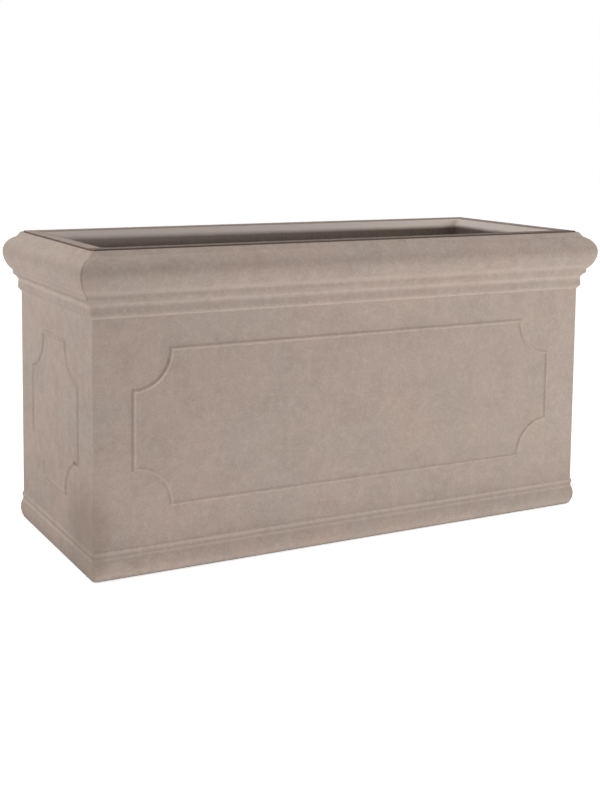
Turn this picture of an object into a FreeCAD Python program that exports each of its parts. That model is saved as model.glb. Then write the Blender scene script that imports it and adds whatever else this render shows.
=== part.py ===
import FreeCAD, Part
import math
import os

# A long rectangular trough planter with a thick rounded rim, a drop-in liner, drain plugs and floor pads.
# Millimetres. The origin is the middle of the footprint on the floor, X runs along the length, -Y is the
# front and Z is up. The shell's section is written as offsets from the flat wall face and heights.

# Overall sizes of the flat-walled body
body_length = 926.0
body_width = 366.0
body_height = 505.5
wall_thickness = 12.0
floor_thickness = 14.0
foot_height = 8.0
foot_band_width = 58.0
inside_draft_deg = 1.0
inside_corner_radius = 12.0
inside_floor_radius = 10.0
rebate_corner_radius = 4.0
foot_recess_radius = 20.0
mitre_flat_width = 1.8

# Crest: the narrow ridge along the top of the rim
crest_inset = 1.5
crest_land = 2.2
crest_foot_reach = 6.5

# Bullnose: the big rounded roll under the crest, drawn by two arcs that meet at its widest line
roll_reach = 25.6
roll_widest_drop = 35.0
roll_upper_radius = 28.3
roll_lower_radius = 44.0
roll_foot_drop = 66.0

# Fillet, cavetto and bead that step back from the roll to the wall
fillet_reach = 11.8
fillet_foot_drop = 73.5
cavetto_sag = 1.1
bead_top_reach = 4.2
bead_top_drop = 82.5
bead_low_reach = 5.2
bead_low_drop = 96.8
bead_foot_drop = 103.3

# Base: a small bead above a shallow torus with a rounded lower edge
base_bead_top = 48.2
base_bead_middle = 43.3
base_bead_foot = 38.5
base_bead_reach = 2.0
base_neck_top = 37.5
base_neck_reach = 0.6
torus_top = 34.5
torus_top_reach = 2.2
torus_middle = 16.0
torus_reach = 4.9
torus_foot = 1.6
torus_foot_reach = 0.3
sole_inset = 1.6

# Raised panel line on each wall, with quarter-round scoops at its corners
panel_side_margin = 66.0
panel_top_drop = 155.0
panel_foot_height = 106.5
panel_scoop_radius = 62.0
panel_line_width = 9.2
panel_line_top_width = 3.4
panel_line_height = 2.6

# Liner: a thin drop-in box that hangs from its flange in the rim's rebate, a little proud of the crest
liner_flange_thickness = 4.0
liner_flange_proud = 2.0
liner_flange_gap = 2.0
liner_flange_visible = 22.5
liner_flange_round = 1.2
liner_lip_round = 2.0
liner_wall = 4.0
liner_floor = 5.0
liner_foot_gap = 5.0
liner_rib_height = 3.0
liner_rib_width = 34.0
liner_rib_end_margin = 34.0
liner_rib_length_share = 0.3725
liner_corner_radius = 7.0
liner_floor_radius = 3.0
liner_drain_radius = 11.0

# Drain holes, plugs and pads
drain_length_share = 0.26
shell_drain_radius = 13.0
shell_drain_bevel = 2.5
plug_head_radius = 17.0
plug_head_thickness = 3.5
plug_shank_below = 2.0
plug_shank_taper = 1.0
plug_waist_radius = 6.5
plug_waist_sag = 1.8
plug_grip_radius = 8.0
plug_grip_height = 11.0
plug_grip_band = 2.5
plug_bevel = 1.0
plug_clearance = 0.25
pad_radius = 20.0
pad_thickness = 4.5
pad_proud = 2.0
pad_edge_bevel = 0.8
pad_edge_margin = 8.0
pad_seat_clearance = 0.4

# Clearance between pieces that lift apart, overrun of cuts and roots, and tolerance of a search
seat_clearance = 0.3
overrun = 5.0
joint_tolerance = 0.001

# Levels and places worked out from the sizes above
sole_z = pad_proud
crest_z = sole_z + body_height
shell_floor_z = sole_z + foot_height + floor_thickness
flange_top_z = crest_z + liner_flange_proud
flange_foot_z = flange_top_z - liner_flange_thickness
rebate_z = flange_foot_z - seat_clearance
liner_foot_z = shell_floor_z + liner_foot_gap
liner_floor_foot_z = liner_foot_z + liner_rib_height
liner_floor_top_z = liner_floor_foot_z + liner_floor
half_length = body_length / 2
half_width = body_width / 2
drain_place = body_length * drain_length_share
liner_rib_place = body_length * liner_rib_length_share
inside_slope = math.tan(math.radians(inside_draft_deg))
liner_inset = crest_inset + liner_flange_gap + liner_flange_visible


def vec(x, y, z):
    return FreeCAD.Vector(x, y, z)


def arc(start, middle, end):
    return Part.Arc(start, middle, end).toShape()


def lines(points):
    return [Part.makeLine(a, b) for a, b in zip(points, points[1:])]


def sagged_arc(start, end, sag):
    """An arc between two points of a section in the XZ plane, bowed to the right of its direction by sag."""
    chord = end - start
    chord.normalize()
    middle = (start + end) * 0.5 + vec(chord.z, 0, -chord.x) * sag
    return arc(start, middle, end)


def wall_section(half_span):
    """One side of the shell's section in the XZ plane, from the sole up to the crest's inner edge."""

    def at(reach, height):
        return vec(half_span + reach, 0, sole_z + height)

    def under_crest(reach, drop):
        return at(reach, body_height - drop)

    def on_roll(radius, drop):
        rise = drop - roll_widest_drop
        return roll_reach - radius + math.sqrt(radius ** 2 - rise ** 2)

    sole = at(-sole_inset, 0)
    torus_low = at(torus_foot_reach, torus_foot)
    torus_mid = at(torus_reach, torus_middle)
    torus_high = at(torus_top_reach, torus_top)
    base_neck = at(base_neck_reach, base_neck_top)
    base_bead_low = at(base_neck_reach, base_bead_foot)
    base_bead_mid = at(base_bead_reach, base_bead_middle)
    base_bead_high = at(0, base_bead_top)
    bead_foot = under_crest(0, bead_foot_drop)
    bead_low = under_crest(bead_low_reach, bead_low_drop)
    bead_high = under_crest(bead_top_reach, bead_top_drop)
    fillet_low = under_crest(fillet_reach, fillet_foot_drop)
    fillet_high = under_crest(fillet_reach, roll_foot_drop)
    roll_foot = under_crest(on_roll(roll_lower_radius, roll_foot_drop), roll_foot_drop)
    low_drop = (roll_foot_drop + roll_widest_drop) / 2
    roll_low = under_crest(on_roll(roll_lower_radius, low_drop), low_drop)
    roll_widest = under_crest(roll_reach, roll_widest_drop)
    roll_top_drop = roll_widest_drop - math.sqrt(
        roll_upper_radius ** 2 - (crest_foot_reach - roll_reach + roll_upper_radius) ** 2)
    high_drop = (roll_top_drop + roll_widest_drop) / 2
    roll_high = under_crest(on_roll(roll_upper_radius, high_drop), high_drop)
    crest_foot = under_crest(crest_foot_reach, roll_top_drop)
    crest_out = under_crest(crest_land - crest_inset, 0)
    crest_in = under_crest(-crest_inset, 0)
    return [
        Part.makeLine(sole, torus_low),
        arc(torus_low, torus_mid, torus_high),
        Part.makeLine(torus_high, base_neck),
        Part.makeLine(base_neck, base_bead_low),
        arc(base_bead_low, base_bead_mid, base_bead_high),
        Part.makeLine(base_bead_high, bead_foot),
        Part.makeLine(bead_foot, bead_low),
        Part.makeLine(bead_low, bead_high),
        sagged_arc(bead_high, fillet_low, -cavetto_sag),
        Part.makeLine(fillet_low, fillet_high),
        Part.makeLine(fillet_high, roll_foot),
        arc(roll_foot, roll_low, roll_widest),
        arc(roll_widest, roll_high, crest_foot),
        Part.makeLine(crest_foot, crest_out),
        Part.makeLine(crest_out, crest_in),
    ]


def section_bar(half_span, half_run):
    """A bar whose section is the whole shell, wall_section on both sides, drawn out along Y."""
    right = wall_section(half_span)
    left = [edge.mirror(vec(0, 0, 0), vec(1, 0, 0)) for edge in right]
    sole = vec(half_span - sole_inset, 0, sole_z)
    crest = vec(half_span - crest_inset, 0, crest_z)
    closing = [
        Part.makeLine(vec(-sole.x, 0, sole.z), sole),
        Part.makeLine(crest, vec(-crest.x, 0, crest.z)),
    ]
    wire = Part.Wire(Part.__sortEdges__(right + left + closing))
    bar = Part.Face(wire).extrude(vec(0, 2 * half_run, 0))
    bar.translate(vec(0, -half_run, 0))
    return bar


def edges_at(shape, z):
    """The edges of a shape that lie in the plane of height z."""
    return [edge for edge in shape.Edges
            if all(abs(vertex.Z - z) < seat_clearance for vertex in edge.Vertexes)]


def rising_edges(shape):
    """The corner edges of a block, which climb from its foot to its top."""
    low = shape.BoundBox.ZMin + joint_tolerance
    return [edge for edge in shape.Edges
            if min(vertex.Z for vertex in edge.Vertexes) < low < max(vertex.Z for vertex in edge.Vertexes)]


def tapered_block(half_x, half_y, radius, low_z, high_z, floor_radius):
    """A round-cornered block that narrows downwards by the inside draft; its sizes are those at high_z."""
    inset = (high_z - low_z) * inside_slope
    low_x = half_x - inset
    low_y = half_y - inset
    block = Part.makeWedge(-low_x, 0, -low_y, -half_y, -half_x, low_x, high_z - low_z, low_y, half_y, half_x)
    block.rotate(vec(0, 0, 0), vec(1, 0, 0), 90)
    block.translate(vec(0, 0, low_z))
    block = block.makeFillet(radius, rising_edges(block))
    return block.makeFillet(floor_radius, edges_at(block, low_z))


def rounded_block(half_x, half_y, radius, low_z, high_z):
    block = Part.makeBox(2 * half_x, 2 * half_y, high_z - low_z, vec(-half_x, -half_y, low_z))
    return block.makeFillet(radius, rising_edges(block))


def tapered_panel(half_panel, half_wall, face_grow, top_grow):
    """The panel inside its scooped corners, from within the wall out to the top of the raised line.

    It is larger than the panel by face_grow at the wall face and by top_grow at the line's top.
    """
    inner_grow = face_grow + (face_grow - top_grow) * overrun / panel_line_height
    low_z = sole_z + panel_foot_height
    high_z = crest_z - panel_top_drop
    top_y = -half_wall - panel_line_height
    inner_y = -half_wall + overrun
    panel = Part.makeWedge(-half_panel - top_grow, top_y, low_z - top_grow,
                           low_z - inner_grow, -half_panel - inner_grow,
                           half_panel + top_grow, inner_y, high_z + top_grow,
                           high_z + inner_grow, half_panel + inner_grow)
    for x in (-half_panel, half_panel):
        for z in (low_z, high_z):
            panel = panel.cut(Part.makeCone(panel_scoop_radius - top_grow, panel_scoop_radius - inner_grow,
                                            inner_y - top_y, vec(x, top_y, z), vec(0, 1, 0)))
    return panel


def panel_line(half_span, half_wall):
    """The raised line round one wall's panel, rooted in the wall; the wall face is at y = -half_wall."""
    half_panel = half_span - panel_side_margin
    outside = tapered_panel(half_panel, half_wall, panel_line_width / 2, panel_line_top_width / 2)
    inside = tapered_panel(half_panel, half_wall, -panel_line_width / 2, -panel_line_top_width / 2)
    return outside.cut(inside)


def mitre_cutter():
    """The space outside a mitre, which takes a narrow flat off it; made for a corner at X = Y = 0 facing +X.

    Across a corner the shell's section looks wider by the square root of two.
    """
    edges = wall_section(-mitre_flat_width / math.sqrt(8))[:-1]
    foot = edges[0].Vertexes[0].Point
    top = edges[-1].Vertexes[-1].Point
    far_x = roll_reach + overrun
    closing = lines([top, vec(top.x, 0, crest_z + overrun), vec(far_x, 0, crest_z + overrun),
                     vec(far_x, 0, sole_z - overrun), vec(foot.x, 0, sole_z - overrun), foot])
    widen = FreeCAD.Matrix()
    widen.scale(vec(math.sqrt(2), 1, 1))
    outside = Part.Face(Part.Wire(Part.__sortEdges__(edges + closing))).transformGeometry(widen)
    cutter = outside.extrude(vec(0, 2 * overrun, 0))
    cutter.translate(vec(0, -overrun, 0))
    return cutter


def turned(shape, degrees):
    copy = shape.copy()
    copy.rotate(vec(0, 0, 0), vec(0, 0, 1), degrees)
    return copy


def pad_places():
    """Pad centres under the four corners, far enough in to stay on the flat foot band."""
    inset = sole_inset + pad_edge_margin + pad_radius
    for sign_y, row in ((-1, "front"), (1, "back")):
        for sign_x, side in ((-1, "left"), (1, "right")):
            yield row + "_" + side, sign_x * (half_length - inset), sign_y * (half_width - inset)


def drain_places():
    return (("left", -drain_place), ("right", drain_place))


# Outer shell: mitred mouldings, raised panel lines, tapered cavity, rebate, foot, drains and pad seats
def make_outer_shell():
    run = half_length + half_width
    shell = section_bar(half_length, run).common(turned(section_bar(half_width, run), 90))
    long_line = panel_line(half_length, half_width)
    short_line = panel_line(half_width, half_length)
    for line in (long_line, turned(long_line, 180), turned(short_line, 90), turned(short_line, -90)):
        shell = shell.fuse(line)

    cavity = tapered_block(half_length - wall_thickness, half_width - wall_thickness,
                           inside_corner_radius, shell_floor_z, rebate_z, inside_floor_radius)
    rebate = rounded_block(half_length - crest_inset, half_width - crest_inset,
                           rebate_corner_radius, rebate_z, crest_z + overrun)
    foot_recess = rounded_block(half_length - foot_band_width, half_width - foot_band_width,
                                foot_recess_radius, sole_z - overrun, sole_z + foot_height)
    cuts = [cavity, rebate, foot_recess]
    for sign_x, sign_y in ((-1, -1), (-1, 1), (1, -1), (1, 1)):
        corner_cutter = turned(mitre_cutter(), math.degrees(math.atan2(sign_y, sign_x)))
        corner_cutter.translate(vec(sign_x * half_length, sign_y * half_width, 0))
        cuts.append(corner_cutter)
    for _, x in drain_places():
        cuts.append(Part.makeCylinder(shell_drain_radius, shell_floor_z, vec(x, 0, 0)))
        cuts.append(Part.makeCone(shell_drain_radius, shell_drain_radius + shell_drain_bevel,
                                  shell_drain_bevel, vec(x, 0, shell_floor_z - shell_drain_bevel)))
    for _, x, y in pad_places():
        cuts.append(Part.makeCylinder(pad_radius + pad_seat_clearance, pad_thickness,
                                      vec(x, y, 0)))
    for cutter in cuts:
        shell = shell.cut(cutter)
    return shell


# Liner: tapered thin-walled box with a rounded flange, stiffening ribs and two drain holes
def make_liner():
    half_mouth_x = half_length - liner_inset
    half_mouth_y = half_width - liner_inset
    flange = rounded_block(half_length - crest_inset - liner_flange_gap,
                           half_width - crest_inset - liner_flange_gap,
                           rebate_corner_radius - liner_flange_gap, flange_foot_z, flange_top_z)
    flange = flange.makeFillet(liner_flange_round, edges_at(flange, flange_top_z))

    box = tapered_block(half_mouth_x + liner_wall, half_mouth_y + liner_wall,
                        liner_corner_radius + liner_wall, liner_floor_foot_z, flange_foot_z,
                        liner_floor_radius + liner_wall)
    liner = flange.fuse(box)

    box_inset = (flange_foot_z - liner_floor_foot_z) * inside_slope
    rib_half_length = half_mouth_y + liner_wall - box_inset - liner_rib_end_margin
    for x in (-liner_rib_place, 0, liner_rib_place):
        liner = liner.fuse(Part.makeBox(liner_rib_width, 2 * rib_half_length, liner_rib_height,
                                        vec(x - liner_rib_width / 2, -rib_half_length, liner_foot_z)))

    liner = liner.cut(tapered_block(half_mouth_x, half_mouth_y, liner_corner_radius,
                                    liner_floor_top_z, flange_top_z, liner_floor_radius))
    for _, x in drain_places():
        liner = liner.cut(Part.makeCylinder(liner_drain_radius, liner_floor_top_z + overrun, vec(x, 0, 0)))
    lip = [edge for edge in edges_at(liner, flange_top_z)
           if abs(edge.CenterOfMass.x) <= half_mouth_x + seat_clearance
           and abs(edge.CenterOfMass.y) <= half_mouth_y + seat_clearance]
    return liner.makeFillet(liner_lip_round, lip)


# Drain plug: a turned rubber bung with a flat head and a waisted grip
def make_drain_plug(x):
    shank_radius = liner_drain_radius - plug_clearance
    head_foot = liner_floor_top_z + seat_clearance
    head_top = head_foot + plug_head_thickness
    grip_top = head_top + plug_grip_height
    foot = vec(0, 0, liner_floor_foot_z - plug_shank_below)
    shank_low = vec(shank_radius - plug_shank_taper, 0, foot.z)
    shank_mid = vec(shank_radius, 0, liner_floor_foot_z)
    shank_high = vec(shank_radius, 0, head_foot)
    head_low = vec(plug_head_radius, 0, head_foot)
    head_side = vec(plug_head_radius, 0, head_top - plug_bevel)
    head_edge = vec(plug_head_radius - plug_bevel, 0, head_top)
    waist_low = vec(plug_waist_radius, 0, head_top)
    grip_low = vec(plug_grip_radius, 0, grip_top - plug_grip_band)
    grip_side = vec(plug_grip_radius, 0, grip_top - plug_bevel)
    grip_edge = vec(plug_grip_radius - plug_bevel, 0, grip_top)
    edges = lines([foot, shank_low, shank_mid, shank_high, head_low, head_side, head_edge, waist_low])
    edges.append(sagged_arc(waist_low, grip_low, -plug_waist_sag))
    edges += lines([grip_low, grip_side, grip_edge, vec(0, 0, grip_top), foot])
    plug = Part.Face(Part.Wire(edges)).revolve(vec(0, 0, 0), vec(0, 0, 1), 360)
    plug.translate(vec(x, 0, 0))
    return plug


# Floor pad: a rubber disc with a bevelled lower edge, seated in the shell's foot band
def make_floor_pad(x, y):
    bevel = Part.makeCone(pad_radius - pad_edge_bevel, pad_radius, pad_edge_bevel, vec(x, y, 0))
    disc = Part.makeCylinder(pad_radius, pad_thickness - pad_edge_bevel, vec(x, y, pad_edge_bevel))
    return bevel.fuse(disc).removeSplitter()


def save(node, shape):
    assert shape.isValid() and len(shape.Solids) == 1, node
    shape.Solids[0].exportStep("parts/" + node + ".step")
    box = shape.BoundBox
    print(f"{node}: {shape.Volume:.0f} mm3, x {box.XMin:.2f} {box.XMax:.2f}, "
          f"y {box.YMin:.2f} {box.YMax:.2f}, z {box.ZMin:.2f} {box.ZMax:.2f}")


os.makedirs("parts", exist_ok=True)
save("outer_shell", make_outer_shell())
save("liner", make_liner())
for side, place_x in drain_places():
    save("drain_plug_" + side, make_drain_plug(place_x))
for corner, place_x, place_y in pad_places():
    save("floor_pad_" + corner, make_floor_pad(place_x, place_y))
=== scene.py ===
import math

import bpy
from mathutils import Matrix, Vector, geometry


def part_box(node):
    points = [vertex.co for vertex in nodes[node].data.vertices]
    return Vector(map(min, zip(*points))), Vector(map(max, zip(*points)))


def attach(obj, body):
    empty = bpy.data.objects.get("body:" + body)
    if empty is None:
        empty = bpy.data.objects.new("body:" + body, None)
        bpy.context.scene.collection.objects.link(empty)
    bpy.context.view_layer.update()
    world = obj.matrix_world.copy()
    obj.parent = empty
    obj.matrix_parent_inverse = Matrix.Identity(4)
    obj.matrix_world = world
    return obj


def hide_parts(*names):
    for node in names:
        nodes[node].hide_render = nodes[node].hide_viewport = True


# The looks of a long trough planter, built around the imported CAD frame, in metres.
# The shell is rebuilt here as one finely sampled mesh with softened edges. The liner, plugs and pads keep
# their CAD shapes. -Y is the front.

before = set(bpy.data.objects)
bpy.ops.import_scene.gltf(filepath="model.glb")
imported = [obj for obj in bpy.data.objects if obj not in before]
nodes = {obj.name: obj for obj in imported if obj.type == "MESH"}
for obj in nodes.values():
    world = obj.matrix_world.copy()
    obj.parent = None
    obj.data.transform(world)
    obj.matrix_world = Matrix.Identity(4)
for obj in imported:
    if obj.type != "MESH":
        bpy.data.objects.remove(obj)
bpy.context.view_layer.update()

MM = 0.001
quarter_turn = math.radians(90)


def mm(*values):
    scaled = [value * MM for value in values]
    return scaled[0] if len(scaled) == 1 else scaled


# Places read from the frame
shell_low, shell_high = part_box("outer_shell")
liner_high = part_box("liner")[1]
pad_low, pad_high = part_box("floor_pad_front_left")
plug_low, plug_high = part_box("drain_plug_left")

# The shell's section: reach out from the wall face, and height above the sole or drop below the crest
sole_inset = mm(1.6)
torus_foot = mm(1.6)
torus_foot_reach = mm(0.3)
torus_middle = mm(16.0)
torus_reach = mm(4.9)
torus_top = mm(34.5)
torus_top_reach = mm(2.2)
base_neck_reach = mm(0.6)
base_neck_top = mm(37.5)
base_bead_foot = mm(38.5)
base_bead_middle = mm(43.3)
base_bead_reach = mm(2.0)
base_bead_top = mm(48.2)
bead_foot_drop = mm(103.3)
bead_low_drop = mm(96.8)
bead_low_reach = mm(5.2)
bead_top_drop = mm(82.5)
bead_top_reach = mm(4.2)
fillet_foot_drop = mm(73.5)
fillet_reach = mm(11.8)
cavetto_sag = mm(1.1)
roll_foot_drop = mm(66.0)
roll_widest_drop = mm(35.0)
roll_lower_radius = mm(44.0)
roll_upper_radius = mm(28.3)
roll_reach = mm(25.6)
crest_foot_reach = mm(6.5)
crest_land = mm(2.2)
crest_inset = mm(1.5)

# Inside and underside of the shell
rebate_drop = mm(2.3)
rebate_corner_radius = mm(4.0)
wall_thickness = mm(12.0)
inside_corner_radius = mm(12.0)
inside_floor_radius = mm(10.0)
inside_slope = math.tan(math.radians(1.0))
foot_height = mm(8.0)
floor_thickness = mm(14.0)
foot_band_width = mm(58.0)
foot_recess_radius = mm(20.0)
shell_drain_radius = mm(13.0)
shell_drain_bevel = mm(2.5)
pad_seat_clearance = mm(0.4)

# Panel line: a raised bead with soft flanks, as wide and as high as the CAD's
panel_side_margin = mm(66.0)
panel_top_drop = mm(155.0)
panel_foot_height = mm(106.5)
panel_scoop_radius = mm(62.0)
line_half_width = mm(4.6)
line_height = mm(2.6)

# Rubbing and painted light on the shell's outside: how worn or lit (+) or grimy or shaded (-) its places are,
# and how wide each mark is
# Lighter marks: worn bead, torus, mitre and panel-line edges with painted highlights; the soft one is only a
# painted highlight on the rim's lower roll
rubbed_and_lit_edge = 1.0
painted_light_soft = 0.6
rubbed_and_lit_line = 0.35
rubbed_and_lit_line_short = 0.05
rubbed_and_lit_mitre = 1.0
# Darker marks: painted shade in the creases at the fillet and wall foot (the soft one also soiling round the
# drain holes), in the base neck, across the roll's upper part, on the roll's mitres, in the seam at the crest
# and over the long walls' panel fields
crease_shade_and_grime = -0.2
painted_neck_shade = -0.25
painted_roll_shade = -0.5
painted_mitre_shade = -0.5
painted_seam_shade = -1.0
painted_field_shade = -0.22
mark_width = mm(2.2)
bead_mark_width = mm(3.0)
bead_top_mark_width = mm(4.2)
bead_mark_share = 2 / 3
# Where the roll's painted shade and the lower roll's painted highlight sit, and how wide they are
shaded_drop = mm(30.0)
shaded_width = mm(13.0)
pale_drop = mm(62.0)
pale_width = mm(7.0)

# How finely the shell is sampled, and how much its sharp edges and corners are softened
section_step = mm(1.5)
inside_step = mm(60.0)
edge_softening = mm(1.1)
softening_share = 0.25
mitre_radius = mm(2.6)
torus_corner_radius = mm(6.0)
mitre_steps = 4
floor_fillet_steps = 6
line_steps = 6
scoop_steps = 20
circle_steps = 48
merge_distance = mm(0.001)

half_length = shell_high.x - roll_reach
half_width = shell_high.y - roll_reach
sole_z = shell_low.z
crest_z = shell_high.z
recess_z = sole_z + foot_height
shell_floor_z = recess_z + floor_thickness
rebate_z = crest_z - rebate_drop


# Section curves, as lists of (reach, z)
def straight(start, end, step):
    start, end = Vector(start), Vector(end)
    count = max(1, round((end - start).length / step))
    return [tuple(start.lerp(end, i / count)) for i in range(count + 1)]


def arc_through(start, middle, end, step):
    """Points of the arc that starts, passes and ends at three points of the section."""
    a, b, c = Vector(start), Vector(middle), Vector(end)
    ab, bc = b - a, c - b
    cross = 2 * (ab.x * (c - a).y - ab.y * (c - a).x)
    ab_half = ((b + a) / 2).dot(ab)
    bc_half = ((c + b) / 2).dot(bc)
    centre = Vector((ab_half * bc.y - bc_half * ab.y, ab.x * bc_half - bc.x * ab_half)) * 2 / cross
    first = math.atan2(a.y - centre.y, a.x - centre.x)
    sweep = math.atan2(c.y - centre.y, c.x - centre.x) - first
    turn = math.copysign(math.tau, cross)
    sweep = math.fmod(sweep + turn, math.tau) if sweep * cross < 0 else sweep
    radius = (a - centre).length
    count = max(2, round(abs(sweep) * radius / step))
    return [(centre.x + radius * math.cos(first + sweep * i / count),
             centre.y + radius * math.sin(first + sweep * i / count)) for i in range(count + 1)]


def bowed(start, end, sag, step):
    """An arc between two points, bowed to the left of its direction by sag."""
    a, b = Vector(start), Vector(end)
    chord = (b - a).normalized()
    return arc_through(start, (a + b) / 2 + Vector((-chord.y, chord.x)) * sag, end, step)


def on_roll(radius, drop):
    return roll_reach - radius + math.sqrt(radius ** 2 - (drop - roll_widest_drop) ** 2)


def joined(runs):
    points = list(runs[0])
    for run in runs[1:]:
        points += run[1:]
    return points


def softened(points, reach):
    """The section with each vertex drawn towards the chord of its neighbourhood, which rounds sharp edges."""
    vectors = [Vector(point) for point in points]
    result = [points[0]]
    for i in range(1, len(points) - 1):
        here = vectors[i]
        before, after = vectors[i - 1] - here, vectors[i + 1] - here
        pull = min(reach, before.length, after.length) * softening_share
        toward = before.normalized() + after.normalized()
        result.append(tuple(here + toward * pull))
    result.append(points[-1])
    return result


def base_section():
    def at(reach, height):
        return reach, sole_z + height

    runs = [
        straight(at(-sole_inset, 0), at(torus_foot_reach, torus_foot), section_step),
        arc_through(at(torus_foot_reach, torus_foot), at(torus_reach, torus_middle),
                    at(torus_top_reach, torus_top), section_step),
        straight(at(torus_top_reach, torus_top), at(base_neck_reach, base_neck_top), section_step),
        straight(at(base_neck_reach, base_neck_top), at(base_neck_reach, base_bead_foot), section_step),
        arc_through(at(base_neck_reach, base_bead_foot), at(base_bead_reach, base_bead_middle),
                    at(0, base_bead_top), section_step),
    ]
    return softened(joined(runs), edge_softening)


def rim_section():
    def at(reach, drop):
        return reach, crest_z - drop

    roll_top_drop = roll_widest_drop - math.sqrt(
        roll_upper_radius ** 2 - (crest_foot_reach - roll_reach + roll_upper_radius) ** 2)
    low_drop = (roll_foot_drop + roll_widest_drop) / 2
    high_drop = (roll_top_drop + roll_widest_drop) / 2
    roll_foot = at(on_roll(roll_lower_radius, roll_foot_drop), roll_foot_drop)
    crest_out = at(crest_land - crest_inset, 0)
    runs = [
        straight(at(0, bead_foot_drop), at(bead_low_reach, bead_low_drop), section_step),
        straight(at(bead_low_reach, bead_low_drop), at(bead_top_reach, bead_top_drop), section_step),
        bowed(at(bead_top_reach, bead_top_drop), at(fillet_reach, fillet_foot_drop),
              cavetto_sag, section_step),
        straight(at(fillet_reach, fillet_foot_drop), at(fillet_reach, roll_foot_drop), section_step),
        straight(at(fillet_reach, roll_foot_drop), roll_foot, section_step),
        arc_through(roll_foot, at(on_roll(roll_lower_radius, low_drop), low_drop),
                    at(roll_reach, roll_widest_drop), section_step),
        arc_through(at(roll_reach, roll_widest_drop), at(on_roll(roll_upper_radius, high_drop), high_drop),
                    at(crest_foot_reach, roll_top_drop), section_step),
        straight(at(crest_foot_reach, roll_top_drop), crest_out, section_step),
        straight(crest_out, at(-crest_inset, 0), section_step),
        straight(at(-crest_inset, 0), at(-crest_inset, rebate_drop), section_step),
    ]
    return softened(joined(runs), edge_softening)


# Mesh building: rings round the planter, joined by quads, and flat faces with holes
class Builder:
    def __init__(self):
        self.points = []
        self.wear_and_shading = []
        self.faces = []

    def add(self, point, wear_and_shading=0.0):
        self.points.append(tuple(point))
        self.wear_and_shading.append(wear_and_shading)
        return len(self.points) - 1

    def loop(self, points, wear_and_shading=0.0):
        return [self.add(point, wear_and_shading) for point in points]

    def band(self, lower, upper, skip=()):
        """Quads between two closed loops of the same count, except at the places in skip."""
        count = len(lower)
        for i in range(count):
            if i not in skip:
                j = (i + 1) % count
                self.faces.append((lower[i], lower[j], upper[j], upper[i]))

    def flat(self, outline, holes, to_plane):
        """Triangles that fill a convex outline round its holes. All are loops of point numbers."""
        numbers = list(outline) + [i for hole in holes for i in hole]
        flat_points = [Vector(to_plane(self.points[i])) for i in numbers]
        edges = []
        first = 0
        for ring in [outline] + list(holes):
            edges += [(first + i, first + (i + 1) % len(ring)) for i in range(len(ring))]
            first += len(ring)
        with_hull = 0
        result = geometry.delaunay_2d_cdt(flat_points, edges, [], with_hull, merge_distance)
        hole_shapes = [[Vector(to_plane(self.points[i])) for i in hole] for hole in holes]
        origin = [source[0] for source in result[3]]
        for face in result[2]:
            middle = sum((result[0][i] for i in face), Vector((0, 0))) / len(face)
            if not any(inside(middle, shape) for shape in hole_shapes):
                self.faces.append(tuple(numbers[origin[i]] for i in face))


def inside(point, shape):
    hits = 0
    for a, b in zip(shape, shape[1:] + shape[:1]):
        if (a.y > point.y) != (b.y > point.y):
            hits += point.x < a.x + (point.y - a.y) / (b.y - a.y) * (b.x - a.x)
    return hits % 2 == 1


def ring_points(reach, z, radius):
    """A closed ring round the planter at a reach from the wall faces, counter-clockwise from above."""
    points = []
    for quarter, (sign_x, sign_y) in enumerate(((1, -1), (1, 1), (-1, 1), (-1, -1))):
        centre_x = sign_x * (half_length + reach - radius)
        centre_y = sign_y * (half_width + reach - radius)
        for i in range(mitre_steps + 1):
            angle = quarter_turn * (quarter - 1 + i / mitre_steps)
            points.append((centre_x + radius * math.cos(angle), centre_y + radius * math.sin(angle), z))
    return points


def circle_points(x, y, radius, z):
    angles = [math.tau * i / circle_steps for i in range(circle_steps)]
    return [(x + radius * math.cos(angle), y + radius * math.sin(angle), z) for angle in angles]


def wear_and_shading_at(reach, z):
    """How worn or lit (+), or grimy or shaded (-), the outside is at a place of the section: worn edges with
    painted highlights, a painted highlight on the lower roll, and painted shade in creases, the base neck,
    the roll and the seam.
    """
    bead_mark_reach = bead_low_reach * (1 - bead_mark_share)
    bead_mark_drop = bead_low_drop + (bead_foot_drop - bead_low_drop) * bead_mark_share
    marks = (
        (bead_mark_reach, crest_z - bead_mark_drop, rubbed_and_lit_edge, mark_width),
        (bead_top_reach, crest_z - bead_top_drop, rubbed_and_lit_edge, bead_top_mark_width),
        (fillet_reach, crest_z - fillet_foot_drop, crease_shade_and_grime, bead_mark_width),
        (on_roll(roll_lower_radius, pale_drop), crest_z - pale_drop, painted_light_soft, pale_width),
        (roll_reach, crest_z - shaded_drop, painted_roll_shade, shaded_width),
        (-crest_inset, crest_z, painted_seam_shade, bead_mark_width),
        (base_bead_reach, sole_z + base_bead_middle, rubbed_and_lit_edge, mark_width),
        (base_neck_reach, sole_z + base_neck_top, painted_neck_shade, mark_width),
        (torus_top_reach, sole_z + torus_top, rubbed_and_lit_edge, mark_width),
        (0.0, sole_z + base_bead_top, crease_shade_and_grime, mark_width),
    )
    total = 0.0
    for mark_reach, mark_z, amount, width in marks:
        distance = math.hypot(reach - mark_reach, z - mark_z)
        total += amount * math.exp(-(distance / width) ** 2)
    return total


def add_ring(builder, reach, z, radius, outside):
    wear_and_shading = wear_and_shading_at(reach, z) if outside else 0.0
    # At the mitres: painted shade along the roll, and worn edges with a painted highlight below it
    mitre_mark = painted_mitre_shade if reach > fillet_reach else rubbed_and_lit_mitre
    ring = []
    for number, point in enumerate(ring_points(reach, z, radius)):
        step = number % (mitre_steps + 1)
        corner = mitre_mark * math.sin(math.pi * step / mitre_steps) if outside else 0.0
        ring.append(builder.add(point, wear_and_shading + corner))
    return ring


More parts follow.
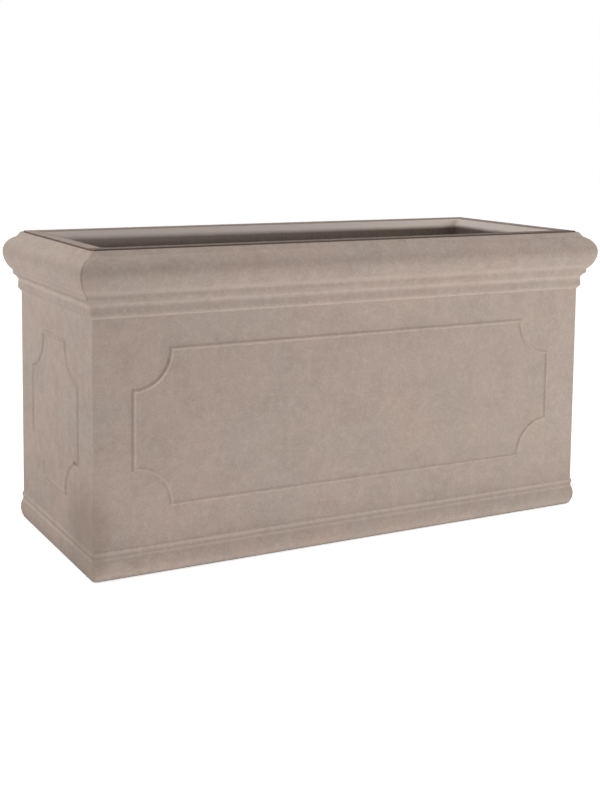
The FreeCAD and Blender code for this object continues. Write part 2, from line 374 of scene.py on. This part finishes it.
def panel_loop(half_panel, middle_z, half_rise, offset):
    """The panel line offset outwards, as (along, z) points: four scoops joined by straight runs."""
    radius = panel_scoop_radius - offset
    lean = math.asin(offset / radius)
    points = []
    for quarter, (sign_u, sign_z) in enumerate(((1, 1), (-1, 1), (-1, -1), (1, -1))):
        first = quarter_turn * (quarter + 3) + lean
        sweep = quarter_turn + 2 * lean
        for i in range(scoop_steps + 1):
            angle = first - sweep * i / scoop_steps
            points.append((sign_u * half_panel + radius * math.cos(angle),
                           middle_z + sign_z * half_rise + radius * math.sin(angle)))
    return points


def add_wall(builder, half_span, half_depth, side, corners):
    """One flat wall with its raised panel line, between the four given corner points."""
    turn = Matrix.Rotation(quarter_turn * side, 3, "Z")
    low_z, high_z = sole_z + panel_foot_height, crest_z - panel_top_drop
    middle_z, half_rise = (low_z + high_z) / 2, (high_z - low_z) / 2
    half_panel = half_span - panel_side_margin
    is_long = half_span > half_depth
    # On the long walls: painted shade over the panel field, and a worn raised line with a stronger painted
    # highlight
    field_mark = painted_field_shade if is_long else 0.0
    line_mark = rubbed_and_lit_line if is_long else rubbed_and_lit_line_short
    loops = []
    for i in range(2 * line_steps + 1):
        across = 1 - i / line_steps
        offset = line_half_width * across
        rise = line_height * math.cos(quarter_turn * across) ** 2
        wear_and_shading = line_mark * rise / line_height if i < 2 * line_steps else field_mark
        outline = panel_loop(half_panel, middle_z, half_rise, offset)
        loops.append(builder.loop([turn @ Vector((u, -half_depth - rise, z)) for u, z in outline], wear_and_shading))
    for outer, inner in zip(loops, loops[1:]):
        builder.band(outer, inner)

    def to_plane(point):
        local = turn.transposed() @ Vector(point)
        return local.x, local.z

    builder.flat(corners, [loops[0]], to_plane)
    builder.faces.append(tuple(loops[-1]))


def add_drain(builder, x):
    """A drain hole through the shell's floor. Returns its lower and upper loops."""
    section = (
        (shell_drain_radius, recess_z),
        (shell_drain_radius, shell_floor_z - shell_drain_bevel),
        (shell_drain_radius + shell_drain_bevel, shell_floor_z),
    )
    loops = [builder.loop(circle_points(x, 0, radius, z), crease_shade_and_grime) for radius, z in section]
    for lower, upper in zip(loops, loops[1:]):
        builder.band(lower, upper)
    return loops[0], loops[-1]


def base_corner_radius(z):
    """The base's thick roll is rounder at its corners than the small mouldings above it."""
    share = (z - sole_z - torus_top) / (base_neck_top - torus_top)
    return torus_corner_radius + (mitre_radius - torus_corner_radius) * min(1, max(0, share))


def build_shell():
    builder = Builder()
    outside = [add_ring(builder, reach, z, base_corner_radius(z), True) for reach, z in base_section()]
    straight_places = [(quarter + 1) * (mitre_steps + 1) - 1 for quarter in range(4)]
    wall_foot = outside[-1]
    rim = [add_ring(builder, reach, z, mitre_radius if reach > -crest_inset else rebate_corner_radius, True)
           for reach, z in rim_section()]
    for lower, upper in zip(outside, outside[1:]):
        builder.band(lower, upper)
    builder.band(wall_foot, rim[0], skip=straight_places)
    for lower, upper in zip(rim, rim[1:]):
        builder.band(lower, upper)

    spans = ((half_width, half_length, 1), (half_length, half_width, 2),
             (half_width, half_length, 3), (half_length, half_width, 0))
    for place, (half_span, half_depth, side) in zip(straight_places, spans):
        after = (place + 1) % len(wall_foot)
        corners = [wall_foot[place], wall_foot[after], rim[0][after], rim[0][place]]
        add_wall(builder, half_span, half_depth, side, corners)

    def inside_reach(z):
        return -wall_thickness - (rebate_z - z) * inside_slope

    fillet_centre_z = shell_floor_z + inside_floor_radius
    inner = [rim[-1], add_ring(builder, inside_reach(rebate_z), rebate_z, inside_corner_radius, False)]
    for _, z in straight((0, rebate_z), (0, fillet_centre_z), inside_step)[1:]:
        inner.append(add_ring(builder, inside_reach(z), z, inside_corner_radius, False))
    for i in range(1, floor_fillet_steps + 1):
        angle = quarter_turn * i / floor_fillet_steps
        reach = inside_reach(fillet_centre_z) - inside_floor_radius * (1 - math.cos(angle))
        inner.append(add_ring(builder, reach, fillet_centre_z - inside_floor_radius * math.sin(angle),
                              inside_corner_radius, False))
    for upper, lower in zip(inner, inner[1:]):
        builder.band(upper, lower)

    recess_low = add_ring(builder, -foot_band_width, sole_z, foot_recess_radius, False)
    recess_high = add_ring(builder, -foot_band_width, recess_z, foot_recess_radius, False)
    builder.band(recess_low, recess_high)
    drain_x = (plug_low.x + plug_high.x) / 2
    drains = [add_drain(builder, sign * drain_x) for sign in (1, -1)]

    pad_x, pad_y = (pad_low.x + pad_high.x) / 2, (pad_low.y + pad_high.y) / 2
    seat_radius = (pad_high.x - pad_low.x) / 2 + pad_seat_clearance
    seats = []
    for x in (pad_x, -pad_x):
        for y in (pad_y, -pad_y):
            mouth = builder.loop(circle_points(x, y, seat_radius, sole_z))
            seat = builder.loop(circle_points(x, y, seat_radius, pad_high.z))
            builder.band(mouth, seat)
            builder.faces.append(tuple(seat))
            seats.append(mouth)

    def from_above(point):
        return point[:2]

    builder.flat(inner[-1], [top for _, top in drains], from_above)
    builder.flat(recess_high, [low for low, _ in drains], from_above)
    builder.flat(outside[0], seats + [recess_low], from_above)
    return builder


def make_object(name, builder):
    mesh = bpy.data.meshes.new(name)
    mesh.from_pydata(builder.points, [], builder.faces)
    wear_and_shading = mesh.attributes.new("wear_and_shading", "FLOAT", "POINT")
    wear_and_shading.data.foreach_set("value", builder.wear_and_shading)
    mesh.validate()
    piece = bpy.data.objects.new(name, mesh)
    bpy.context.scene.collection.objects.link(piece)
    bpy.context.view_layer.objects.active = piece
    piece.select_set(True)
    bpy.ops.object.mode_set(mode="EDIT")
    bpy.ops.mesh.select_all(action="SELECT")
    bpy.ops.mesh.normals_make_consistent(inside=False)
    bpy.ops.object.mode_set(mode="OBJECT")
    mesh.shade_smooth()
    weighted = piece.modifiers.new("weighted_normals", "WEIGHTED_NORMAL")
    weighted.keep_sharp = True
    return piece


# Sockets of a colour Mix node, by number
mix_factor = 0
mix_first = 6
mix_second = 7
mix_result = 2


# Node helpers for the materials
class Nodes:
    def __init__(self, name):
        self.material = bpy.data.materials.new(name)
        self.material.use_nodes = True
        self.tree = self.material.node_tree
        self.shader = self.tree.nodes["Principled BSDF"]

    def add(self, kind, **settings):
        node = self.tree.nodes.new("ShaderNode" + kind)
        for name, value in settings.items():
            setattr(node, name, value)
        return node

    def link(self, source, target):
        self.tree.links.new(source, target)

    def object_place(self):
        return self.add("TexCoord").outputs["Object"]

    def noise(self, scale, detail=2.0, roughness=0.5, stretch=(1, 1, 1), shift=(0, 0, 0)):
        mapping = self.add("Mapping")
        mapping.inputs["Scale"].default_value = stretch
        mapping.inputs["Location"].default_value = shift
        self.link(self.object_place(), mapping.inputs["Vector"])
        noise = self.add("TexNoise")
        noise.inputs["Scale"].default_value = scale
        noise.inputs["Detail"].default_value = detail
        noise.inputs["Roughness"].default_value = roughness
        self.link(mapping.outputs["Vector"], noise.inputs["Vector"])
        return noise.outputs["Fac"]

    def ranged(self, value, low, high, to_low=0.0, to_high=1.0):
        node = self.add("MapRange")
        node.interpolation_type = "SMOOTHSTEP"
        self.link(value, node.inputs["Value"])
        for name, number in (("From Min", low), ("From Max", high), ("To Min", to_low), ("To Max", to_high)):
            node.inputs[name].default_value = number
        return node.outputs["Result"]

    def math(self, operation, first, second=0.0):
        node = self.add("Math", operation=operation)
        for socket, value in zip(node.inputs, (first, second)):
            if isinstance(value, (int, float)):
                socket.default_value = value
            else:
                self.link(value, socket)
        return node.outputs["Value"]

    def mix(self, factor, first, second):
        """Mixes two colours, each a colour tuple or a socket, by a number or a socket."""
        node = self.add("Mix", data_type="RGBA")
        for number, value in ((mix_factor, factor), (mix_first, first), (mix_second, second)):
            if isinstance(value, bpy.types.NodeSocket):
                self.link(value, node.inputs[number])
            elif number == mix_factor:
                node.inputs[number].default_value = value
            else:
                node.inputs[number].default_value = (*value, 1.0)
        return node.outputs[mix_result]

    def faded(self, cover, strength):
        return self.math("MULTIPLY", cover, strength)

    def attribute(self, name):
        return self.add("Attribute", attribute_name=name).outputs["Fac"]

    def split(self, vector):
        node = self.add("SeparateXYZ")
        self.link(vector, node.inputs["Vector"])
        return node.outputs

    def bump(self, height, distance, strength=1.0, under=None):
        node = self.add("Bump")
        node.inputs["Distance"].default_value = distance
        node.inputs["Strength"].default_value = strength
        self.link(height, node.inputs["Height"])
        if under is not None:
            self.link(under, node.inputs["Normal"])
        return node.outputs["Normal"]


# The sRGB curve: where its straight foot ends, that foot's slope, and the curve's offset and power
full_level = 255
srgb_knee = 0.04045
srgb_slope = 12.92
srgb_offset = 0.055
srgb_power = 2.4


def srgb(red, green, blue):
    """A colour as it should look, 0 to 255, turned into linear light."""
    def linear(level):
        share = level / full_level
        if share <= srgb_knee:
            return share / srgb_slope
        return ((share + srgb_offset) / (1 + srgb_offset)) ** srgb_power
    return linear(red), linear(green), linear(blue)


stone_warm = srgb(175, 156, 145)
stone_cool = srgb(168, 155, 145)
stone_dark = srgb(148, 132, 121)
stone_pale = srgb(195, 179, 168)

# Layers of the stone over its warm ground: the noise, the range of it that shows, strength and tint
blotches = dict(scale=9.0, detail=4.0, roughness=0.6)
blotches_shown = (0.35, 0.65)
patches = dict(scale=18.0, detail=5.0, roughness=0.65, shift=(3, 1, 2),
               shown=(0.42, 0.72), strength=0.38, tint=stone_dark)
clouds = dict(scale=60.0, detail=4.0, roughness=0.85, shift=(1, 5, 2),
              shown=(0.42, 0.72), strength=0.42, tint=stone_pale)
grain = dict(scale=300.0, detail=2.0, roughness=0.6, shift=(0, 0, 0),
             shown=(0.3, 0.7), strength=0.32, tint=stone_pale)
specks = dict(scale=900.0, detail=1.0, roughness=0.5, shift=(7, 3, 9),
              shown=(0.62, 0.72), strength=0.35, tint=stone_dark)

coarse_bumps = dict(scale=60.0, detail=4.0, roughness=0.6, shift=(2, 2, 8))
coarse_bump_depth = mm(0.8)
coarse_bump_strength = 0.5
sandy_bumps = dict(scale=520.0, detail=3.0, roughness=0.65)
sandy_bump_depth = mm(0.25)
sandy_bump_strength = 0.6

# Where worn spots, painted light and shade, and dust are ragged, and how matte a surface is: noise, and the
# ranges it is read in
ragged = dict(detail=3.0, roughness=0.6)
marks_ragged = dict(scale=130.0, shift=(4, 4, 1))
marks_ragged_shown = (0.25, 0.75, 0.35, 1.0)
rub_and_highlight_strength = 0.9
middle_range = (0.3, 0.7)
matte_scale = 90.0
stone_matte = (0.82, 0.95)
stone_specular = 0.25


def stone_look(look):
    """Colour of the cast stone: mottled and finely speckled."""
    blotched = look.ranged(look.noise(**blotches), *blotches_shown)
    colour = look.mix(blotched, stone_warm, stone_cool)
    for layer in (patches, clouds, grain, specks):
        noise = look.noise(layer["scale"], layer["detail"], layer["roughness"], shift=layer["shift"])
        cover = look.faded(look.ranged(noise, *layer["shown"]), layer["strength"])
        colour = look.mix(cover, colour, layer["tint"])
    return colour


def stone_bump(look):
    """Bump of the cast stone: a little uneven, and sandy."""
    coarse = look.bump(look.noise(**coarse_bumps), coarse_bump_depth, coarse_bump_strength)
    return look.bump(look.noise(**sandy_bumps), sandy_bump_depth, sandy_bump_strength, under=coarse)


def set_matte(look, scale, matte):
    """Sets a roughness that varies a little between two values."""
    look.link(look.ranged(look.noise(scale), *middle_range, *matte), look.shader.inputs["Roughness"])


# Painted shade on the left wall, a dark nook at the panel line's lower scoop end and a broad darkening low at
# its front: colour, middle, half sizes, how ragged, and the broad one's strength
painted_nook_shade = srgb(128, 113, 103)
nook_shade_place = (-half_length, mm(-106.0), mm(169.5))
nook_shade_half_size = mm(30.0, 14.0, 4.0)
nook_shade_ragged_scale = 160.0
painted_low_shade = srgb(140, 120, 106)
low_shade_place = (-half_length, mm(-150.0), mm(70.0))
low_shade_half_size = mm(30.0, 95.0, 95.0)
low_shade_ragged_scale = 30.0
low_shade_strength = 0.42
spot_ragged = 0.9
spot_edge = (0.3, 1.7)


def spot(look, middle, half_size, ragged_scale):
    """How strongly a spot of painted shade shows: 1 in its middle, fading raggedly to 0 at its edge."""
    parts = []
    for place, centre, half in zip(look.split(look.object_place()), middle, half_size):
        offset = look.math("DIVIDE", look.math("SUBTRACT", place, centre), half)
        parts.append(look.math("MULTIPLY", offset, offset))
    spread = look.math("ADD", look.math("ADD", parts[0], parts[1]), parts[2])
    unevenness = look.faded(look.noise(ragged_scale, **ragged), spot_ragged)
    return look.ranged(look.math("ADD", spread, unevenness), *spot_edge, 1.0, 0.0)


def make_cast_stone():
    look = Nodes("cast_stone_look")
    colour = stone_look(look)
    wear_and_shading = look.attribute("wear_and_shading")
    unevenness = look.ranged(look.noise(**marks_ragged, **ragged), *marks_ragged_shown)
    # Lighter marks are worn edges with painted highlights; darker marks are painted shade, with some soiling
    # round the drain holes
    rubbed_and_lit = look.math("MULTIPLY", look.ranged(wear_and_shading, 0.0, 1.0), unevenness)
    colour = look.mix(look.faded(rubbed_and_lit, rub_and_highlight_strength), colour, stone_pale)
    grime_and_shade = look.math("MULTIPLY", look.ranged(wear_and_shading, 0.0, -1.0), unevenness)
    colour = look.mix(grime_and_shade, colour, stone_dark)
    # Painted shade: a broad darkening low at the front of the left wall, then a dark nook at the panel line's
    # lower scoop end
    low_shade = look.faded(spot(look, low_shade_place, low_shade_half_size, low_shade_ragged_scale), low_shade_strength)
    colour = look.mix(low_shade, colour, painted_low_shade)
    colour = look.mix(spot(look, nook_shade_place, nook_shade_half_size, nook_shade_ragged_scale), colour, painted_nook_shade)
    look.link(colour, look.shader.inputs["Base Color"])
    look.link(stone_bump(look), look.shader.inputs["Normal"])
    set_matte(look, matte_scale, stone_matte)
    look.shader.inputs["Specular IOR Level"].default_value = stone_specular
    return look.material


# Liner: its bare laminate, and a pale band down its inner wall: stone finish drawn paler than the stone,
# which puts painted light on it
liner_bare = srgb(116, 100, 92)
liner_bare_dark = srgb(88, 75, 68)
# The band's colours, paler than the stone and paler to the right: painted light
lit_band_left = srgb(240, 226, 216)
lit_band_right = srgb(252, 238, 228)
fibre_scale = 180.0
fibre_stretch = (1, 1, 0.4)
fibre_strength = 0.4
# Where the band ends below the top and how softly it fades: higher and softer on the left, partly painted
# shade
band_drop_left = mm(14.5)
band_drop_right = mm(15.5)
band_fade_left = mm(8.0)
band_fade_right = mm(5.0)
band_wander = mm(2.0)
wander_scale = 30.0
wander_detail = 3.0
# Painted light below the band: lighter near the top, fading with depth and towards the right
depth_light_top_drop = mm(16.0)
depth_light_foot_drop = mm(36.0)
depth_light_left = 0.25
depth_light_right = 0.0
flange_visible = mm(22.5)
flange_edge_band = mm(0.5)
lip_drop = mm(3.0)
# Darkening of the flange top: towards its inner lip, all round, and along the front, where it is painted
# shade
lip_darkening_width = mm(9.0)
front_fade = mm(3.0)
lip_darkening = 0.6
even_flange_darkening = 0.3
painted_front_shade = 0.82
liner_matte = (0.6, 0.8)
liner_specular = 0.1


def make_liner_look():
    """Stone finish on the flange and lip, and a pale band down the inner wall above bare dark laminate.

    The band is paler than the stone and paler towards the right, which is painted light, and below it painted
    light fades with depth and towards the right. The band's lower edge, higher and softer on the left, is
    partly the finish's edge and partly painted shade. The flange's outer edge is bare, which also makes the
    painted shade in the gap at the crest. Its top is darker all round, more so towards its inner lip, and
    most along the front, where the darkening is painted shade.
    """
    look = Nodes("liner_look")
    place = look.split(look.object_place())
    half_x, half_y, top_z = liner_high
    fibres = look.ranged(look.noise(fibre_scale, **ragged, stretch=fibre_stretch), *middle_range)
    bare = look.mix(look.faded(fibres, fibre_strength), liner_bare, liner_bare_dark)

    def from_left(left, right):
        return look.ranged(place[0], -half_x, half_x, left, right)

    # The band's lower edge: partly the finish's edge, partly painted shade, higher and softer on the left
    wander = look.faded(look.noise(wander_scale, wander_detail), band_wander)
    below_line = look.math("SUBTRACT", from_left(band_drop_left, band_drop_right), top_z)
    level = look.math("ADD", look.math("ADD", place[2], wander), below_line)
    fade = from_left(band_fade_left, band_fade_right)
    painted = look.ranged(look.math("DIVIDE", level, fade), -1.0, 1.0)
    # Painted light: the wall below the band is lighter near the top, fading with depth and towards the right
    depth_light_height = look.ranged(place[2], top_z - depth_light_foot_drop, top_z - depth_light_top_drop)
    painted_depth_light = look.math("MULTIPLY", depth_light_height, from_left(depth_light_left, depth_light_right))
    painted = look.math("MAXIMUM", painted, painted_depth_light)
    # The flange's outer edge stays bare, which also makes the painted shade in the gap at the crest
    within_x = look.math("SUBTRACT", half_x, look.math("ABSOLUTE", place[0]))
    within_y = look.math("SUBTRACT", half_y, look.math("ABSOLUTE", place[1]))
    from_edge = look.math("MINIMUM", within_x, within_y)
    painted = look.math("MULTIPLY", painted, look.ranged(from_edge, 0.0, flange_edge_band))

    below_top = look.ranged(place[2], top_z - lip_drop, top_z, 1.0, 0.0)
    # Painted light: the band is paler than the stone, and paler towards the right
    band = look.mix(look.ranged(place[0], 0.0, half_x), lit_band_left, lit_band_right)
    cover_colour = look.mix(below_top, stone_look(look), band)
    # The flange top is darker towards its inner lip and all round, and painted shade darkens it along the
    # front
    near_lip = look.ranged(from_edge, flange_visible - lip_darkening_width, flange_visible)
    strip_y = -half_y + flange_visible
    front = look.ranged(place[1], strip_y, strip_y - front_fade)
    strip_darkening = look.ranged(front, 0.0, 1.0, even_flange_darkening, painted_front_shade)
    top_darkening = look.math("MAXIMUM", look.faded(near_lip, lip_darkening), strip_darkening)
    on_top = look.math("SUBTRACT", 1.0, below_top)
    cover_colour = look.mix(look.math("MULTIPLY", top_darkening, on_top), cover_colour, liner_bare_dark)

    look.link(look.mix(painted, bare, cover_colour), look.shader.inputs["Base Color"])
    look.link(stone_bump(look), look.shader.inputs["Normal"])
    set_matte(look, matte_scale, liner_matte)
    look.shader.inputs["Specular IOR Level"].default_value = liner_specular
    return look.material


# Rubber of the plugs and pads, dusty and finely pitted
plug_black = srgb(38, 37, 36)
pad_grey = srgb(52, 50, 49)
dust_grey = srgb(110, 104, 98)
dust_scale = 220.0
dust_shown = (0.45, 0.75)
dust_strength = 0.3
rubber_pit_scale = 700.0
rubber_pit_depth = mm(0.1)
rubber_pit_strength = 0.5
rubber_matte_scale = 120.0
rubber_matte = (0.55, 0.75)


def make_rubber(name, colour):
    look = Nodes(name)
    dust = look.ranged(look.noise(dust_scale, **ragged), *dust_shown)
    dusty = look.mix(look.faded(dust, dust_strength), colour, dust_grey)
    look.link(dusty, look.shader.inputs["Base Color"])
    pits = look.bump(look.noise(rubber_pit_scale), rubber_pit_depth, rubber_pit_strength)
    look.link(pits, look.shader.inputs["Normal"])
    set_matte(look, rubber_matte_scale, rubber_matte)
    return look.material


def put_material(piece, material):
    piece.data.materials.clear()
    piece.data.materials.append(material)


# Pieces
shell = make_object("shell_body", build_shell())
put_material(shell, make_cast_stone())
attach(shell, "shell")
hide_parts("outer_shell")

put_material(nodes["liner"], make_liner_look())
plug_look = make_rubber("plug_look", plug_black)
pad_look = make_rubber("pad_look", pad_grey)
for name, node in nodes.items():
    if name.startswith("drain_plug"):
        put_material(node, plug_look)
    elif name.startswith("floor_pad"):
        put_material(node, pad_look)

# Floor, light and background, in metres
floor_half = 6.0
floor_level = mm(-0.2)
floor_colour = (0.80, 0.80, 0.80)
floor_glow = 0.75
world_strength = 0.40
background_white = (1.0, 1.0, 1.0)


def make_floor():
    mesh = bpy.data.meshes.new("floor")
    corners = [(x * floor_half, y * floor_half, floor_level) for x, y in ((-1, -1), (1, -1), (1, 1), (-1, 1))]
    mesh.from_pydata(corners, [], [(0, 1, 2, 3)])
    floor = bpy.data.objects.new("floor", mesh)
    bpy.context.scene.collection.objects.link(floor)
    look = Nodes("floor_look")
    look.shader.inputs["Base Color"].default_value = (*floor_colour, 1.0)
    look.shader.inputs["Roughness"].default_value = 1.0
    look.shader.inputs["Specular IOR Level"].default_value = 0.0
    look.shader.inputs["Emission Color"].default_value = (*background_white, 1.0)
    seen = look.add("LightPath").outputs["Is Camera Ray"]
    look.link(look.math("MULTIPLY", seen, floor_glow), look.shader.inputs["Emission Strength"])
    floor.data.materials.append(look.material)


def make_world():
    world = bpy.data.worlds.new("studio")
    bpy.context.scene.world = world
    world.use_nodes = True
    tree = world.node_tree
    background = tree.nodes["Background"]
    background.inputs["Color"].default_value = (*background_white, 1.0)
    path = tree.nodes.new("ShaderNodeLightPath")
    seen = tree.nodes.new("ShaderNodeMath")
    seen.operation = "MAXIMUM"
    tree.links.new(path.outputs["Is Camera Ray"], seen.inputs[0])
    tree.links.new(path.outputs["Is Glossy Ray"], seen.inputs[1])
    strength = tree.nodes.new("ShaderNodeMapRange")
    tree.links.new(seen.outputs["Value"], strength.inputs["Value"])
    strength.inputs["To Min"].default_value = world_strength
    strength.inputs["To Max"].default_value = 1.0
    tree.links.new(strength.outputs["Result"], background.inputs["Strength"])


def make_softbox(name, place, aim, size, watts):
    data = bpy.data.lights.new(name, "AREA")
    data.shape = "RECTANGLE"
    data.size, data.size_y = size
    data.energy = watts
    lamp = bpy.data.objects.new(name, data)
    lamp.location = place
    direction = Vector(aim) - Vector(place)
    lamp.rotation_euler = direction.to_track_quat("-Z", "Y").to_euler()
    lamp.visible_camera = False
    bpy.context.scene.collection.objects.link(lamp)


# Lamps: name, place, what they aim at, size and watts
planter_middle = (0, 0, crest_z / 2)
hollow_right = (liner_high.x, 0, liner_high.z)
studio_lamps = (
    ("key_front_right", (1.65, -1.45, 1.05), planter_middle, (1.0, 0.8), 12.2),
    ("top", (0.6, -0.5, 2.3), planter_middle, (1.6, 0.8), 4.6),
    ("fill_left", (-1.3, 0.1, 0.72), planter_middle, (0.5, 0.5), 2.7),
    ("over_left", (-0.6, 0.05, 1.6), hollow_right, (0.3, 0.3), 3.3),
    ("far_left", (-2.5, 0.6, 1.3), planter_middle, (1.4, 1.2), 9.0),
)
# Lamps just above the floor that shine straight up, as a bright floor would: name, middle, size and watts
bounce_height = mm(1.0)
bounce_aim_height = 1.0
bounce_lamps = (
    ("bounce_front", (0.9, -1.59), (2.86, 2.68), 20.0),
    ("foot_front", (0, -0.1985), (0.93, 0.023), 0.06),
    ("bounce_left", (-1.75, 0), (2.0, 2.4), 1.8),
    ("bounce_back", (0.4, 1.65), (2.8, 2.6), 16.0),
)

make_floor()
make_world()
for name, place, aim, size, watts in studio_lamps:
    make_softbox(name, place, aim, size, watts)
for name, middle, size, watts in bounce_lamps:
    make_softbox(name, (*middle, bounce_height), (*middle, bounce_aim_height), size, watts)

# Camera: the photograph's angle, worked out from its edges
camera_place = mm(-1085.0, -1973.4, 698.7)
camera_yaw_deg = 28.494
camera_pitch_deg = 5.681
camera_roll_deg = 0.640
focal_pixels = 1275.7
picture_long_side = 800
optical_axis_row = 250


def make_camera():
    data = bpy.data.cameras.new("camera")
    data.lens = focal_pixels / picture_long_side * data.sensor_width
    data.shift_y = optical_axis_row / picture_long_side - 1 / 2
    data.dof.use_dof = False
    camera = bpy.data.objects.new("camera", data)
    bpy.context.scene.collection.objects.link(camera)
    aim = (Matrix.Rotation(math.radians(-camera_yaw_deg), 4, "Z")
           @ Matrix.Rotation(math.radians(90 - camera_pitch_deg), 4, "X")
           @ Matrix.Rotation(math.radians(camera_roll_deg), 4, "Z"))
    camera.matrix_world = Matrix.Translation(camera_place) @ aim
    bpy.context.scene.camera = camera


make_camera()
bpy.context.scene.view_settings.view_transform = "Standard"
